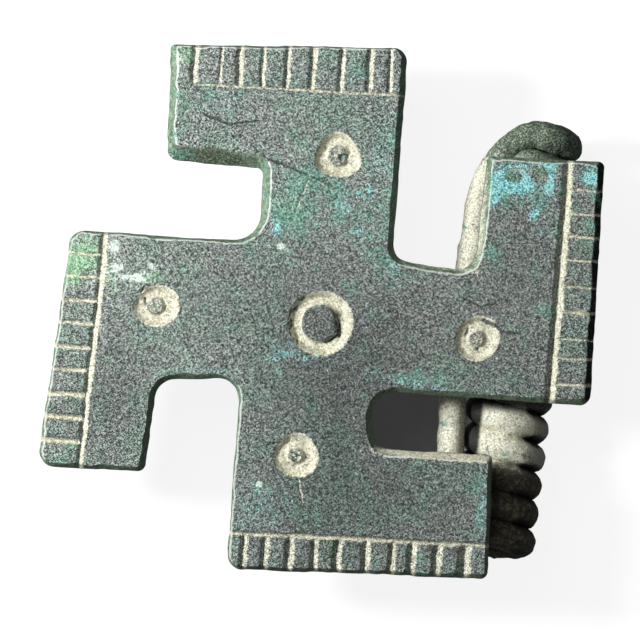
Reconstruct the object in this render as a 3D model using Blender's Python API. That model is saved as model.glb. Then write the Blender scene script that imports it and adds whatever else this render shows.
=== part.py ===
"""Bronze plate brooch of hooked cross form, lying face up.

The flat cast plate carries incised bands and ring-and-dot marks on its front. Cast in one with
it, behind, are a pierced lug under the right arm and a catch under the left arm. A rod through
the lug carries a two-sided coil spring with its chord, and the pin springs from a loop beside
the lug and reaches across to the catch. The brooch rests on the coil and on the catch's foot.
"""

import math

import bmesh
import bpy
from mathutils import Matrix, Vector

MM = 0.001

# Plate: four arms about the middle, each with a hook on its anticlockwise side
ARM_WIDTH = 8.3 * MM
NOTCH_WIDTH = 5.1 * MM  # open space between a hook and the next arm
HOOK_DEPTH = 7.15 * MM  # along the arm that the hook belongs to
HOOK_REACH = 10.6 * MM  # from the arm's middle line to the end of its hook
PLATE_THICKNESS = 2.2 * MM
SLANT_DROP = 0.6 * MM  # how far down the plate's side its worn slant comes
ARC_STEPS = 4  # straight steps round each corner of the outline

# How far each hand-cut corner strays from the regular figure, in millimetres, clockwise round
# each arm: outwards along the arm, towards the hook, corner radius, slant of the edge after it
CORNERS = {
    "top": (
        (0.68, -0.05, 1.7, 0.55),
        (0.11, 0.10, 0.4, 0.90),
        (0.33, -0.34, 0.6, 0.50),
        (0.40, -0.05, 0.35, 0.20),
        (1.22, -0.22, 0.9, 0.40),
    ),
    "right": (
        (0.13, 0.15, 1.1, 0.35),
        (0.18, -0.28, 1.2, 0.40),
        (0.52, 0.63, 0.3, 0.25),
        (0.74, 0.71, 0.4, 0.44),
        (0.90, 0.10, 0.7, 0.34),
    ),
    "bottom": (
        (-0.15, -0.77, 1.4, 0.40),
        (-1.70, -0.07, 0.9, 0.42),
        (-1.75, 0.81, 0.35, 0.30),
        (-1.11, 1.10, 0.5, 0.30),
        (-0.60, -0.61, 0.9, 0.15),
    ),
    "left": (
        (0.57, -0.31, 1.3, 0.35),
        (0.62, 0.13, 1.3, 0.35),
        (1.05, -0.51, 0.5, 0.30),
        (0.67, -0.42, 1.0, 0.20),
        (-0.46, -0.62, 1.0, 0.35),
    ),
}

# Incised bands along the arms' ends. Each arm: where the line starts as a share of the outer
# edge, its distance in from the edge at the hook and at the shoulder, its width, the cuts'
# width, and each cut's place as a share of the edge, counted from the hook
BANDS = {
    "top": (
        0.10,
        (2.48, 3.07),
        0.28,
        0.50,
        (0.106, 0.216, 0.296, 0.394, 0.496, 0.601, 0.724, 0.841, 0.928),
    ),
    "right": (
        -0.02,
        (2.32, 2.66),
        0.60,
        0.26,
        (0.123, 0.222, 0.315, 0.409, 0.518, 0.621, 0.733, 0.810, 0.916),
    ),
    "bottom": (
        -0.02,
        (2.12, 2.32),
        0.34,
        0.60,
        (0.100, 0.206, 0.300, 0.376, 0.476, 0.584, 0.671, 0.766, 0.861, 0.940),
    ),
    "left": (
        -0.02,
        (2.68, 2.13),
        0.55,
        0.42,
        (0.115, 0.213, 0.309, 0.415, 0.509, 0.610, 0.707, 0.806, 0.902),
    ),
}
CUT_STEEPNESS = 0.55  # depth of an incised cut as a share of its width
CUT_RISE = 0.3 * MM  # how far a cutter stands above the front
CUT_OVERRUN = 0.4 * MM  # how far a cutter runs out past the edge

# Ring-and-dot marks: share of the arm's reach, step towards the hook, outer and inner radius
CENTRE_RING = (0.0, 0.0, 1.94, 1.28)
ARM_RINGS = {
    "top": (0.640, -0.36, 1.37, 0.60),
    "right": (0.601, -0.28, 1.34, 0.52),
    "bottom": (0.510, -0.95, 1.37, 0.45),
    "left": (0.630, -0.34, 1.32, 0.48),
}
RING_DEPTH = 0.35 * MM
RING_SLOPE = 0.12 * MM  # how far each side of the ring's groove leans in
RING_STEPS = 32

# Spring: a left-handed coil on each side of the lug, joined by the chord
WIRE_DIAMETER = 1.65 * MM
COIL_DIAMETER = 5.2 * MM  # outside
TURN_GAP = 0.09 * MM
SPRING_ABOVE = 12.75 * MM  # from the lug's middle to the wire's top turn
SPRING_BELOW = 13.2 * MM  # from the lug's middle to the wire's bottom turn
SPRING_LEAN = math.radians(2.84)  # the axis leans to the right towards the top
SPRING_INSET = 4.54 * MM  # from the right arm's outer edge in to the axis
COIL_TO_PLATE = 0.7 * MM
CHORD_GAP = 0.25 * MM  # between the chord and the coil
CHORD_HEIGHT = 1.2 * MM  # above the axis
CHORD_BEND = 4.2 * MM  # length along the axis that the wire takes to turn into the chord
TURN_STEPS = 16
WIRE_SIDES = 8

# Rod through the coil and the lug
ROD_DIAMETER = 1.3 * MM
ROD_SHORT = 0.6 * MM  # how far each end stays inside the spring's end
ROD_STEPS = 20
RUNNING_GAP = 0.3 * MM  # between pieces that meet

# Lug under the right arm
LUG_THICKNESS = 2.0 * MM
LUG_WALL = 0.9 * MM  # metal round the rod's hole
LUG_FLARE = 0.35 * MM  # how much wider the lug is where it meets the plate
ROOT_DEPTH = 0.3 * MM  # how far the lug and the catch reach up into the plate

# Catch under the left arm: a flange that turns up at its foot into a gutter
CATCH_PLACE = 0.628  # share of the left arm's reach
CATCH_LENGTH = 5.0 * MM
FLANGE_THICKNESS = 1.1 * MM
GUTTER_WIDTH = 1.3 * MM
GUTTER_FLOOR = 0.7 * MM
LIP_THICKNESS = 0.8 * MM
LIP_HEIGHT = 2.0 * MM
CATCH_ROUNDING = 0.35 * MM
CATCH_SHIFT = -0.2 * MM  # the gutter's middle, along Y from the arm's middle line

# Pin: it lies beside the catch's lip, where it rests before it is pressed in
PIN_AT_CATCH = 0.9 * MM  # diameter
PIN_TIP = 0.24 * MM  # diameter
PIN_POINT_LENGTH = 4.5 * MM
PIN_PAST_CATCH = 1.2 * MM
PIN_LOOP = math.radians(275)

HALF_ARM = ARM_WIDTH / 2
REACH = HALF_ARM + NOTCH_WIDTH + HOOK_DEPTH
WIRE_RADIUS = WIRE_DIAMETER / 2
COIL_RADIUS = COIL_DIAMETER / 2 - WIRE_RADIUS
AXIS_HEIGHT = COIL_DIAMETER / 2
PLATE_BACK = COIL_DIAMETER + COIL_TO_PLATE
PLATE_FRONT = PLATE_BACK + PLATE_THICKNESS
LOOP_PLACE = LUG_THICKNESS / 2 + RUNNING_GAP + WIRE_RADIUS
ARM_NAMES = ("top", "right", "bottom", "left")

SIDE_BACK = math.radians(270)  # angle round the axis, from the right by way of the front


def clear_scene():
    for obj in list(bpy.data.objects):
        bpy.data.objects.remove(obj)


def make_material(name, colour, roughness, metallic):
    material = bpy.data.materials.new(name)
    material.use_nodes = True
    shader = material.node_tree.nodes["Principled BSDF"]
    shader.inputs["Base Color"].default_value = (*colour, 1.0)
    shader.inputs["Roughness"].default_value = roughness
    shader.inputs["Metallic"].default_value = metallic
    return material


def add_object(name, bm, material=None):
    """Turns the mesh into a named object with its faces pointing out."""
    bmesh.ops.recalc_face_normals(bm, faces=bm.faces)
    mesh = bpy.data.meshes.new(name)
    bm.to_mesh(mesh)
    bm.free()
    obj = bpy.data.objects.new(name, mesh)
    if material:
        mesh.materials.append(material)
    bpy.context.scene.collection.objects.link(obj)
    return obj


def add_tool(name, bm):
    """A shape that only cuts or joins another one."""
    obj = add_object(name, bm)
    obj.hide_render = True
    obj.display_type = "WIRE"
    return obj


def combine(target, tool, operation):
    boolean = target.modifiers.new(tool.name, "BOOLEAN")
    boolean.object = tool
    boolean.operation = operation


def arm_point(arm, outwards, hookwards):
    """Plan position from an arm's own axes, where the top arm points along +Y."""
    turn = Matrix.Rotation(-math.radians(90) * ARM_NAMES.index(arm), 2)
    return turn @ Vector((-hookwards, outwards))


def arm_corners(arm):
    """Regular corners of one arm, clockwise, as outwards and hookwards distances."""
    hook_start = HALF_ARM + NOTCH_WIDTH
    regular = (
        (HALF_ARM, HALF_ARM),
        (hook_start, HALF_ARM),
        (hook_start, HOOK_REACH),
        (REACH, HOOK_REACH),
        (REACH, -HALF_ARM),
    )
    corners = []
    for (outwards, hookwards), (stray_out, stray_hook, _, _) in zip(regular, CORNERS[arm]):
        corners.append((outwards + stray_out * MM, hookwards + stray_hook * MM))
    return corners


def outer_edge(arm):
    """The arm's outer edge, from its hook's corner to its shoulder, in the arm's own axes."""
    corners = arm_corners(arm)
    return Vector(corners[3]), Vector(corners[4])


def line_crossing(point_a, along_a, point_b, along_b):
    """Where two straight lines meet."""
    across = along_a.x * along_b.y - along_a.y * along_b.x
    gap = point_b - point_a
    return point_a + along_a * ((gap.x * along_b.y - gap.y * along_b.x) / across)


def corner_arc(corner, along_in, along_out, radius):
    """Points of the arc that rounds one corner."""
    turn = math.atan2(along_in.x * along_out.y - along_in.y * along_out.x, along_in.dot(along_out))
    start = corner - along_in * (radius * math.tan(abs(turn) / 2))
    inward = Vector((-along_in.y, along_in.x)) * math.copysign(1, turn)
    centre = start + inward * radius
    points = []
    for step in range(ARC_STEPS + 1):
        spin = Matrix.Rotation(turn * step / ARC_STEPS, 2)
        points.append(centre + spin @ (start - centre))
    return points


def plate_loop(slant_share):
    """Rounded outline, clockwise; a share of 1 gives the front's edge inside the slant."""
    corners, radii, slants = [], [], []
    for arm in ARM_NAMES:
        for place, (_, _, radius, slant) in zip(arm_corners(arm), CORNERS[arm]):
            corners.append(arm_point(arm, *place))
            radii.append(radius * MM)
            slants.append(slant * MM * slant_share)
    count = len(corners)
    ways = [(corners[(i + 1) % count] - corners[i]).normalized() for i in range(count)]
    loop = []
    for i, corner in enumerate(corners):
        way_in, way_out = ways[i - 1], ways[i]
        shifted_in = corner + Vector((way_in.y, -way_in.x)) * slants[i - 1]
        shifted_out = corner + Vector((way_out.y, -way_out.x)) * slants[i]
        inner_corner = line_crossing(shifted_in, way_in, shifted_out, way_out)
        hollow = way_in.x * way_out.y - way_in.y * way_out.x > 0
        mean_slant = (slants[i - 1] + slants[i]) / 2
        radius = radii[i] + mean_slant if hollow else max(radii[i] - mean_slant, radii[i] / 2)
        loop.extend(corner_arc(inner_corner, way_in, way_out, radius))
    return loop


def loft(bm, rings):
    """Skins a row of closed rings and caps both ends."""
    rows = [[bm.verts.new(point) for point in ring] for ring in rings]
    count = len(rows[0])
    for low, high in zip(rows, rows[1:]):
        for i in range(count):
            bm.faces.new((low[i], low[(i + 1) % count], high[(i + 1) % count], high[i]))
    bm.faces.new(rows[0])
    bm.faces.new(list(reversed(rows[-1])))


def plate_slab():
    outline = plate_loop(0)
    front = plate_loop(1)
    bm = bmesh.new()
    loft(
        bm,
        [
            [(p.x, p.y, PLATE_BACK) for p in outline],
            [(p.x, p.y, PLATE_FRONT - SLANT_DROP) for p in outline],
            [(p.x, p.y, PLATE_FRONT) for p in front],
        ],
    )
    return bm


def add_cut(bm, start, end, width):
    """A straight V-shaped cut in the front, from one plan point to another."""
    depth = width * CUT_STEEPNESS
    way = (end - start).normalized()
    side = Vector((-way.y, way.x)) * (width / 2 * (1 + CUT_RISE / depth))
    rings = []
    for point in (start, end):
        rings.append(
            [
                (*(point + side), PLATE_FRONT + CUT_RISE),
                (*(point - side), PLATE_FRONT + CUT_RISE),
                (*point, PLATE_FRONT - depth),
            ]
        )
    loft(bm, rings)


def band_line(arm):
    """Ends of the arm's incised line, in the arm's own axes, and the line's width."""
    start_share, (hook_inset, shoulder_inset), width, _, _ = BANDS[arm]
    hook_end, shoulder_end = outer_edge(arm)
    line_start = hook_end - Vector((hook_inset * MM, 0))
    line_end = shoulder_end - Vector((shoulder_inset * MM, 0))
    way = line_end - line_start
    return line_start + way * start_share, line_end + way.normalized() * CUT_OVERRUN, width * MM


def band_lines():
    bm = bmesh.new()
    for arm in ARM_NAMES:
        start, end, width = band_line(arm)
        add_cut(bm, arm_point(arm, *start), arm_point(arm, *end), width)
    return bm


def band_cuts():
    bm = bmesh.new()
    for arm in ARM_NAMES:
        _, (hook_inset, shoulder_inset), _, width, places = BANDS[arm]
        hook_end, shoulder_end = outer_edge(arm)
        for place in places:
            outer = hook_end.lerp(shoulder_end, place)
            inset = (hook_inset + (shoulder_inset - hook_inset) * place) * MM
            inner = outer - Vector((inset, 0))
            outer = outer + Vector((CUT_OVERRUN, 0))
            add_cut(bm, arm_point(arm, *inner), arm_point(arm, *outer), width * MM)
    return bm


def ring_places():
    """Middle, outer and inner radius of each ring-and-dot mark."""
    marks = [("top", CENTRE_RING)] + list(ARM_RINGS.items())
    for arm, (share, hookwards, outer, inner) in marks:
        middle = arm_point(arm, share * REACH, hookwards * MM)
        yield middle, outer * MM, inner * MM


def ring_cuts():
    bm = bmesh.new()
    top = PLATE_FRONT + CUT_RISE
    floor = PLATE_FRONT - RING_DEPTH
    for middle, outer, inner in ring_places():
        section = ((inner, top), (outer, top), (outer - RING_SLOPE, floor), (inner + RING_SLOPE, floor))
        rows = []
        for step in range(RING_STEPS):
            angle = 2 * math.pi * step / RING_STEPS
            outward = Vector((math.cos(angle), math.sin(angle)))
            rows.append([bm.verts.new((*(middle + outward * r), z)) for r, z in section])
        for step in range(RING_STEPS):
            row, following = rows[step], rows[(step + 1) % RING_STEPS]
            for i in range(4):
                j = (i + 1) % 4
                bm.faces.new((row[i], row[j], following[j], following[i]))
    return bm


def spring_axis_foot():
    """Point of the spring's axis beside the lug, and the axis and sideways directions."""
    foot = Vector((arm_point("right", *outer_edge("right")[0]).x - SPRING_INSET, 0, AXIS_HEIGHT))
    along = Vector((math.sin(SPRING_LEAN), math.cos(SPRING_LEAN), 0))
    across = Vector((math.cos(SPRING_LEAN), -math.sin(SPRING_LEAN), 0))
    return foot, along, across


def near_spring(across_by, along_by, height):
    """Position from the spring's own axes: to its right, up along it, and above it."""
    foot, along, across = spring_axis_foot()
    return foot + across * across_by + along * along_by + Vector((0, 0, height))


def on_coil(angle, along_by):
    """A point of the coil's middle line; the angle runs from the right by way of the front."""
    return near_spring(COIL_RADIUS * math.cos(angle), along_by, COIL_RADIUS * math.sin(angle))


def extrude_section(section, place_a, place_b):
    """A closed plan section carried from one end to the other."""
    bm = bmesh.new()
    loft(bm, [[place_a(*p) for p in section], [place_b(*p) for p in section]])
    return bm


def lug_body():
    half = ROD_DIAMETER / 2 + RUNNING_GAP + LUG_WALL
    top = PLATE_BACK + ROOT_DEPTH - AXIS_HEIGHT
    section = [(half + LUG_FLARE, top), (-half - LUG_FLARE, top)]
    for step in range(ROD_STEPS // 2 + 1):
        angle = math.pi + math.pi * step / (ROD_STEPS // 2)
        section.append((half * math.cos(angle), half * math.sin(angle)))
    reach = LUG_THICKNESS / 2
    return extrude_section(
        section,
        lambda across, height: near_spring(across, -reach, height),
        lambda across, height: near_spring(across, reach, height),
    )


def rod_mesh(diameter, low, high):
    bm = bmesh.new()
    rings = []
    for along_by in (low, high):
        ring = []
        for step in range(ROD_STEPS):
            angle = 2 * math.pi * step / ROD_STEPS
            ring.append(
                near_spring(
                    diameter / 2 * math.cos(angle), along_by, diameter / 2 * math.sin(angle)
                )
            )
        rings.append(ring)
    loft(bm, rings)
    return bm


def catch_middle():
    """Plan position of the gutter's middle."""
    return arm_point("left", CATCH_PLACE * REACH, 0) + Vector((0, CATCH_SHIFT))


def catch_body():
    gutter = GUTTER_WIDTH / 2
    lip_out = gutter + LIP_THICKNESS
    flange_out = gutter + FLANGE_THICKNESS
    top = PLATE_BACK + ROOT_DEPTH
    section = [(-flange_out, top)]
    for step in range(ARC_STEPS + 1):
        angle = math.pi + math.pi / 2 * step / ARC_STEPS
        section.append(
            (
                CATCH_ROUNDING - flange_out + CATCH_ROUNDING * math.cos(angle),
                CATCH_ROUNDING + CATCH_ROUNDING * math.sin(angle),
            )
        )
    for step in range(ARC_STEPS + 1):
        angle = 3 * math.pi / 2 + math.pi / 2 * step / ARC_STEPS
        section.append(
            (
                lip_out - CATCH_ROUNDING + CATCH_ROUNDING * math.cos(angle),
                CATCH_ROUNDING + CATCH_ROUNDING * math.sin(angle),
            )
        )
    section.append((lip_out, LIP_HEIGHT))
    section.append((gutter, LIP_HEIGHT))
    for step in range(2 * ARC_STEPS + 1):
        angle = -math.pi * step / (2 * ARC_STEPS)
        section.append((gutter * math.cos(angle), GUTTER_FLOOR + gutter + gutter * math.sin(angle)))
    section.append((-gutter, top))
    middle = catch_middle()
    half = CATCH_LENGTH / 2
    return extrude_section(
        section,
        lambda y, z: Vector((middle.x - half, middle.y + y, z)),
        lambda y, z: Vector((middle.x + half, middle.y + y, z)),
    )


def wire_mesh(points, radii):
    """A round wire along a row of points, with a radius at each."""
    bm = bmesh.new()
    rings = []
    side = None
    for i, point in enumerate(points):
        way = (points[min(i + 1, len(points) - 1)] - points[max(i - 1, 0)]).normalized()
        if side is None:
            side = way.orthogonal()
        side = (side - way * side.dot(way)).normalized()
        other = way.cross(side)
        ring = []
        for step in range(WIRE_SIDES):
            angle = 2 * math.pi * step / WIRE_SIDES
            ring.append(point + (side * math.cos(angle) + other * math.sin(angle)) * radii[i])
        rings.append(ring)
    loft(bm, rings)
    return bm


def coil_points(start_angle, start_along, turn, end_along):
    """Points of a helix that rises along the axis as its angle grows by the turn."""
    count = round(abs(turn) / (2 * math.pi) * TURN_STEPS)
    points = []
    for step in range(count + 1):
        share = step / count
        points.append(
            on_coil(start_angle + turn * share, start_along + (end_along - start_along) * share)
        )
    return points


def bend_points(start, start_pull, end, end_pull):
    """Inner points of a smooth bend between two ends with the given pulls."""
    points = []
    for step in range(1, TURN_STEPS // 2):
        t = step / (TURN_STEPS // 2)
        s = 1 - t
        points.append(
            start * s**3
            + (start + start_pull) * (3 * s * s * t)
            + (end - end_pull) * (3 * s * t * t)
            + end * t**3
        )
    return points


def turns_that_fit(span, part_turn):
    """The most turns, ending in the given part turn, that fit side by side."""
    return math.floor(span / (WIRE_DIAMETER + TURN_GAP) - part_turn) + part_turn


def spring_points():
    """The fixed wire: down the upper coil's path, round its end, along the chord, up again."""
    loop_end = SIDE_BACK + PIN_LOOP - 2 * math.pi
    upper_start = LOOP_PLACE + WIRE_DIAMETER + TURN_GAP
    front = math.radians(90)
    part_turn = (front - loop_end) % (2 * math.pi) / (2 * math.pi)
    upper_turns = turns_that_fit(SPRING_ABOVE - upper_start, part_turn)
    upper = coil_points(loop_end, upper_start, 2 * math.pi * upper_turns, SPRING_ABOVE)

    chord_side = -(COIL_RADIUS + WIRE_DIAMETER + CHORD_GAP)
    chord_top = near_spring(chord_side, SPRING_ABOVE - CHORD_BEND, CHORD_HEIGHT)
    chord_low = near_spring(chord_side, CHORD_BEND - SPRING_BELOW, CHORD_HEIGHT)
    _, along, across = spring_axis_foot()
    pull = CHORD_BEND * 0.62
    top_bend = bend_points(upper[-1], across * -pull, chord_top, along * -pull)

    lower_end = -LOOP_PLACE
    lower_turns = turns_that_fit(SPRING_BELOW - LOOP_PLACE, 0.25)
    lower = coil_points(SIDE_BACK, -SPRING_BELOW, 2 * math.pi * lower_turns, lower_end)
    low_bend = bend_points(chord_low, along * -pull, lower[0], across * pull)
    return upper + top_bend + [chord_top, chord_low] + low_bend + lower


def pin_lie():
    """Where the pin's middle line passes the catch: beside the lip and level with the gutter."""
    middle = catch_middle()
    beside = GUTTER_WIDTH / 2 + LIP_THICKNESS + RUNNING_GAP + PIN_AT_CATCH / 2
    return Vector((middle.x, middle.y + beside, GUTTER_FLOOR + PIN_AT_CATCH / 2))


def pin_path():
    """Points and radii of the pin, from its tip to the end of its loop round the rod."""
    root = on_coil(SIDE_BACK, LOOP_PLACE)
    at_catch = pin_lie()
    way = (at_catch - root).normalized()
    past = CATCH_LENGTH / 2 + PIN_PAST_CATCH
    tip = at_catch + way * past
    shaft = (tip - root).length
    points, radii = [], []
    shaft_steps = TURN_STEPS
    for step in range(shaft_steps):
        from_tip = shaft * (step / shaft_steps) ** 1.3
        points.append(tip - way * from_tip)
        if from_tip < PIN_POINT_LENGTH:
            share = math.sin(math.pi / 2 * from_tip / PIN_POINT_LENGTH)
            radii.append(PIN_TIP / 2 + (PIN_AT_CATCH - PIN_TIP) / 2 * share)
        else:
            share = (from_tip - PIN_POINT_LENGTH) / (shaft - PIN_POINT_LENGTH)
            radii.append(PIN_AT_CATCH / 2 + (WIRE_DIAMETER - PIN_AT_CATCH) / 2 * share)
    loop = coil_points(SIDE_BACK, LOOP_PLACE, PIN_LOOP, LOOP_PLACE)
    return points + loop, radii + [WIRE_RADIUS] * len(loop)


def move_mesh(bm, shift):
    bmesh.ops.translate(bm, verts=bm.verts, vec=shift)
    return bm


def shade_round(obj):
    obj.data.shade_smooth()
    obj.data.set_sharp_from_angle(angle=math.radians(50))


def make_plate(material):
    plate = add_object("plate", plate_slab(), material)
    combine(plate, add_tool("lug_shape", lug_body()), "UNION")
    combine(plate, add_tool("catch_shape", catch_body()), "UNION")
    hole = ROD_DIAMETER + 2 * RUNNING_GAP
    hole_cutter = add_tool("rod_hole_cutter", rod_mesh(hole, -LUG_THICKNESS, LUG_THICKNESS))
    combine(plate, hole_cutter, "DIFFERENCE")
    combine(plate, add_tool("band_cut_cutters", band_cuts()), "DIFFERENCE")
    combine(plate, add_tool("band_line_cutters", band_lines()), "DIFFERENCE")
    combine(plate, add_tool("ring_cutters", ring_cuts()), "DIFFERENCE")
    return plate


def make_spring(material):
    points = spring_points()
    spring = add_object("spring", wire_mesh(points, [WIRE_RADIUS] * len(points)), material)
    shade_round(spring)
    return spring


def make_rod(material):
    low = ROD_SHORT - SPRING_BELOW
    high = SPRING_ABOVE - ROD_SHORT
    rod = add_object("spring_axis", rod_mesh(ROD_DIAMETER, low, high), material)
    shade_round(rod)
    return rod


def make_pin(material):
    """The pin's origin is on the spring's axis, which it turns about."""
    pivot = near_spring(0, LOOP_PLACE, 0)
    points, radii = pin_path()
    pin = add_object("pin", move_mesh(wire_mesh(points, radii), -pivot), material)
    pin.location = pivot
    shade_round(pin)
    return pin


def main():
    clear_scene()
    patina = make_material("bronze_patina", (0.115, 0.155, 0.140), 0.62, 0.30)
    worn_wire = make_material("spring_bronze", (0.22, 0.19, 0.125), 0.6, 0.35)
    pin_bronze = make_material("pin_bronze", (0.19, 0.18, 0.12), 0.55, 0.4)
    rod_iron = make_material("rod_bronze", (0.12, 0.10, 0.07), 0.7, 0.3)
    outline = plate_loop(0)
    middle_x = (min(p.x for p in outline) + max(p.x for p in outline)) / 2
    middle_y = (min(p.y for p in outline) + max(p.y for p in outline)) / 2
    brooch = bpy.data.objects.new("brooch", None)
    brooch.location = (-middle_x, -middle_y, 0)
    bpy.context.scene.collection.objects.link(brooch)
    make_plate(patina)
    make_spring(worn_wire)
    make_rod(rod_iron)
    make_pin(pin_bronze)
    for obj in bpy.data.objects:
        if obj is not brooch:
            obj.parent = brooch


main()
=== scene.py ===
"""Looks of the bronze plate brooch of hooked cross form, lying face up on a pale table.

The cast plate gets its hand-cut outline, worn edges, incised bands, ring-and-dot marks, pitted
green patina and the pale deposit in its hollows. The wire gets its turns with a corroded skin.
"""

import math

import bmesh
import bpy
import numpy as np
from mathutils import Matrix, Vector
from mathutils.geometry import delaunay_2d_cdt
from mathutils.kdtree import KDTree


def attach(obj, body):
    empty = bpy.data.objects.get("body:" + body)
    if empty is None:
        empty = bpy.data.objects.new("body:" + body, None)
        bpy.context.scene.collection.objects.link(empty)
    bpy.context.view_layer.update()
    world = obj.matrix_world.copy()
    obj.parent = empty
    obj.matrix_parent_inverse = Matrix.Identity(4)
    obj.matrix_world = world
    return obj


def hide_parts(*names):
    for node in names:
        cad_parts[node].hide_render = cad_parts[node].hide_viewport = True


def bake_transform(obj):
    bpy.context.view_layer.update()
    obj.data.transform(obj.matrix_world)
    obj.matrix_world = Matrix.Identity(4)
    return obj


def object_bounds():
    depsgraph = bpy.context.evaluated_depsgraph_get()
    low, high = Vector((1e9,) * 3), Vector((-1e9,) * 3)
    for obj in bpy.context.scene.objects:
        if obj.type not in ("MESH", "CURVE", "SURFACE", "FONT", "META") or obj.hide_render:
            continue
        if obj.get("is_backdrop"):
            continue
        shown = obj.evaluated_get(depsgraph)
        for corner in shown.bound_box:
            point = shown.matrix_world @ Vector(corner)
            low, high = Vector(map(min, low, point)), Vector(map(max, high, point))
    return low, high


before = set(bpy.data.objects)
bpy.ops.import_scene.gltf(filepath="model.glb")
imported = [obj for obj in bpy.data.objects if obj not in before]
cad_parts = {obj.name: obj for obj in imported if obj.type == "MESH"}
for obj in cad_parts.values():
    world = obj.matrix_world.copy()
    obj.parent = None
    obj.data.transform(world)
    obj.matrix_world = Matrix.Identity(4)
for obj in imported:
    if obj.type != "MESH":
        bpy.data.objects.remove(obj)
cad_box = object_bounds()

MM = 0.001

# Plate, in millimetres, about the middle of the centre ring
HALF_ARM = 4.15
NOTCH_WIDTH = 5.1
HOOK_DEPTH = 7.15
HOOK_REACH = 10.6
REACH = HALF_ARM + NOTCH_WIDTH + HOOK_DEPTH
SLANT_DROP = 0.6
PLATE_BACK = 5.9
PLATE_FRONT = 8.1
ARM_NAMES = ("top", "right", "bottom", "left")

# Each hand-cut corner, clockwise round each arm: stray outwards along the arm, stray towards the
# hook, corner radius, slant of the edge after it
CORNERS = {
    "top": (
        (0.68, -0.05, 1.7, 0.55),
        (0.11, 0.10, 0.4, 0.90),
        (0.33, -0.34, 0.6, 0.50),
        (0.40, -0.05, 0.35, 0.20),
        (1.22, -0.22, 0.9, 0.40),
    ),
    "right": (
        (0.13, 0.15, 1.1, 0.35),
        (0.18, -0.28, 1.2, 0.40),
        (0.52, 0.63, 0.3, 0.25),
        (0.74, 0.71, 0.4, 0.44),
        (0.90, 0.10, 0.7, 0.34),
    ),
    "bottom": (
        (-0.15, -0.77, 1.4, 0.40),
        (-1.70, -0.07, 0.9, 0.42),
        (-1.75, 0.81, 0.35, 0.30),
        (-1.11, 1.10, 0.5, 0.30),
        (-0.60, -0.61, 0.9, 0.15),
    ),
    "left": (
        (0.57, -0.31, 1.3, 0.35),
        (0.62, 0.13, 1.3, 0.35),
        (1.05, -0.51, 0.5, 0.30),
        (0.67, -0.42, 1.0, 0.20),
        (-0.46, -0.62, 1.0, 0.20),
    ),
}

# Incised bands. Each arm: where the line starts as a share of the outer edge, its distance in
# from the edge at the hook and at the shoulder, the line's width and paleness, the cuts' width
# and paleness, then each cut's place as a share of the edge counted from the hook, and its own
# width as a share of the cuts' width
BANDS = {
    "top": (
        0.10, (2.48, 3.07), 0.30, 0.64, 0.46, 0.68,
        ((0.106, 1.15), (0.216, 0.5), (0.296, 1.0), (0.394, 0.8), (0.496, 1.0), (0.601, 1.0),
         (0.724, 0.95), (0.841, 1.05), (0.928, 0.8)),
    ),
    "right": (
        -0.02, (2.32, 2.66), 0.64, 0.80, 0.28, 0.75,
        ((0.123, 1.0), (0.222, 1.0), (0.315, 1.2), (0.409, 1.0), (0.518, 0.9), (0.621, 1.0),
         (0.733, 0.9), (0.810, 1.0), (0.916, 1.0)),
    ),
    "bottom": (
        -0.02, (2.12, 2.32), 0.42, 0.72, 0.60, 0.60,
        ((0.100, 1.45), (0.206, 1.0), (0.300, 1.0), (0.376, 0.9), (0.476, 1.0), (0.584, 1.0),
         (0.671, 0.9), (0.766, 1.0), (0.861, 1.0), (0.940, 0.9)),
    ),
    "left": (
        -0.02, (2.68, 2.13), 0.46, 0.85, 0.40, 0.70,
        ((0.115, 1.5), (0.213, 1.5), (0.309, 1.4), (0.415, 1.1), (0.509, 1.1), (0.610, 1.0),
         (0.707, 1.0), (0.806, 0.8), (0.902, 0.9)),
    ),
}
CUT_STEEPNESS = 0.55
CUT_OVERRUN = 0.4
SCRATCH_STEEPNESS = 0.6

# Ring-and-dot marks: share of the arm's reach, step towards the hook, outer and inner radius,
# depth of the groove, how far the dot in the middle stands below the plate, how far the outline
# strays from round, its number of lobes and their turn in degrees
RINGS = {
    "centre": (0.0, 0.0, 1.98, 1.14, 0.38, 0.0, 0.03, 3, 40),
    "top": (0.640, -0.36, 1.36, 0.60, 0.34, 0.12, 0.09, 3, 95),
    "right": (0.601, -0.28, 1.36, 0.46, 0.32, 0.14, 0.07, 2, 60),
    "bottom": (0.510, -0.95, 1.34, 0.45, 0.34, 0.12, 0.05, 3, 90),
    "left": (0.630, -0.34, 1.32, 0.50, 0.28, 0.08, 0.07, 2, 20),
}

# How pale the dots of the small marks are
DOT_PALENESS = 0.42

# Small deep pits and cracks in the marks: plan place, half widths, turn in degrees, depth
PITS = (
    (0.79, 10.45, 0.34, 0.24, 20, 0.20),
    (1.15, -0.10, 0.20, 0.85, 12, 0.22),
    (0.75, -0.95, 0.60, 0.16, 35, 0.16),
    (-1.65, 0.75, 0.10, 0.42, -38, 0.16),
    (-1.20, 1.42, 0.28, 0.10, 30, 0.14),
    (-1.78, -0.15, 0.09, 0.40, 0, 0.12),
    (-1.3, -1.25, 0.08, 0.2, 20, 0.10),
    (-0.35, 10.95, 0.09, 0.08, 0, 0.14),
    (-2.35, -7.75, 0.42, 0.09, 8, 0.14),
    (-11.15, 1.35, 0.10, 0.30, -30, 0.14),
    (-10.95, 0.55, 0.09, 0.34, 10, 0.12),
    (9.25, 0.10, 0.10, 0.36, -15, 0.12),
    (9.95, -0.95, 0.22, 0.10, 20, 0.10),
)

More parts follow.
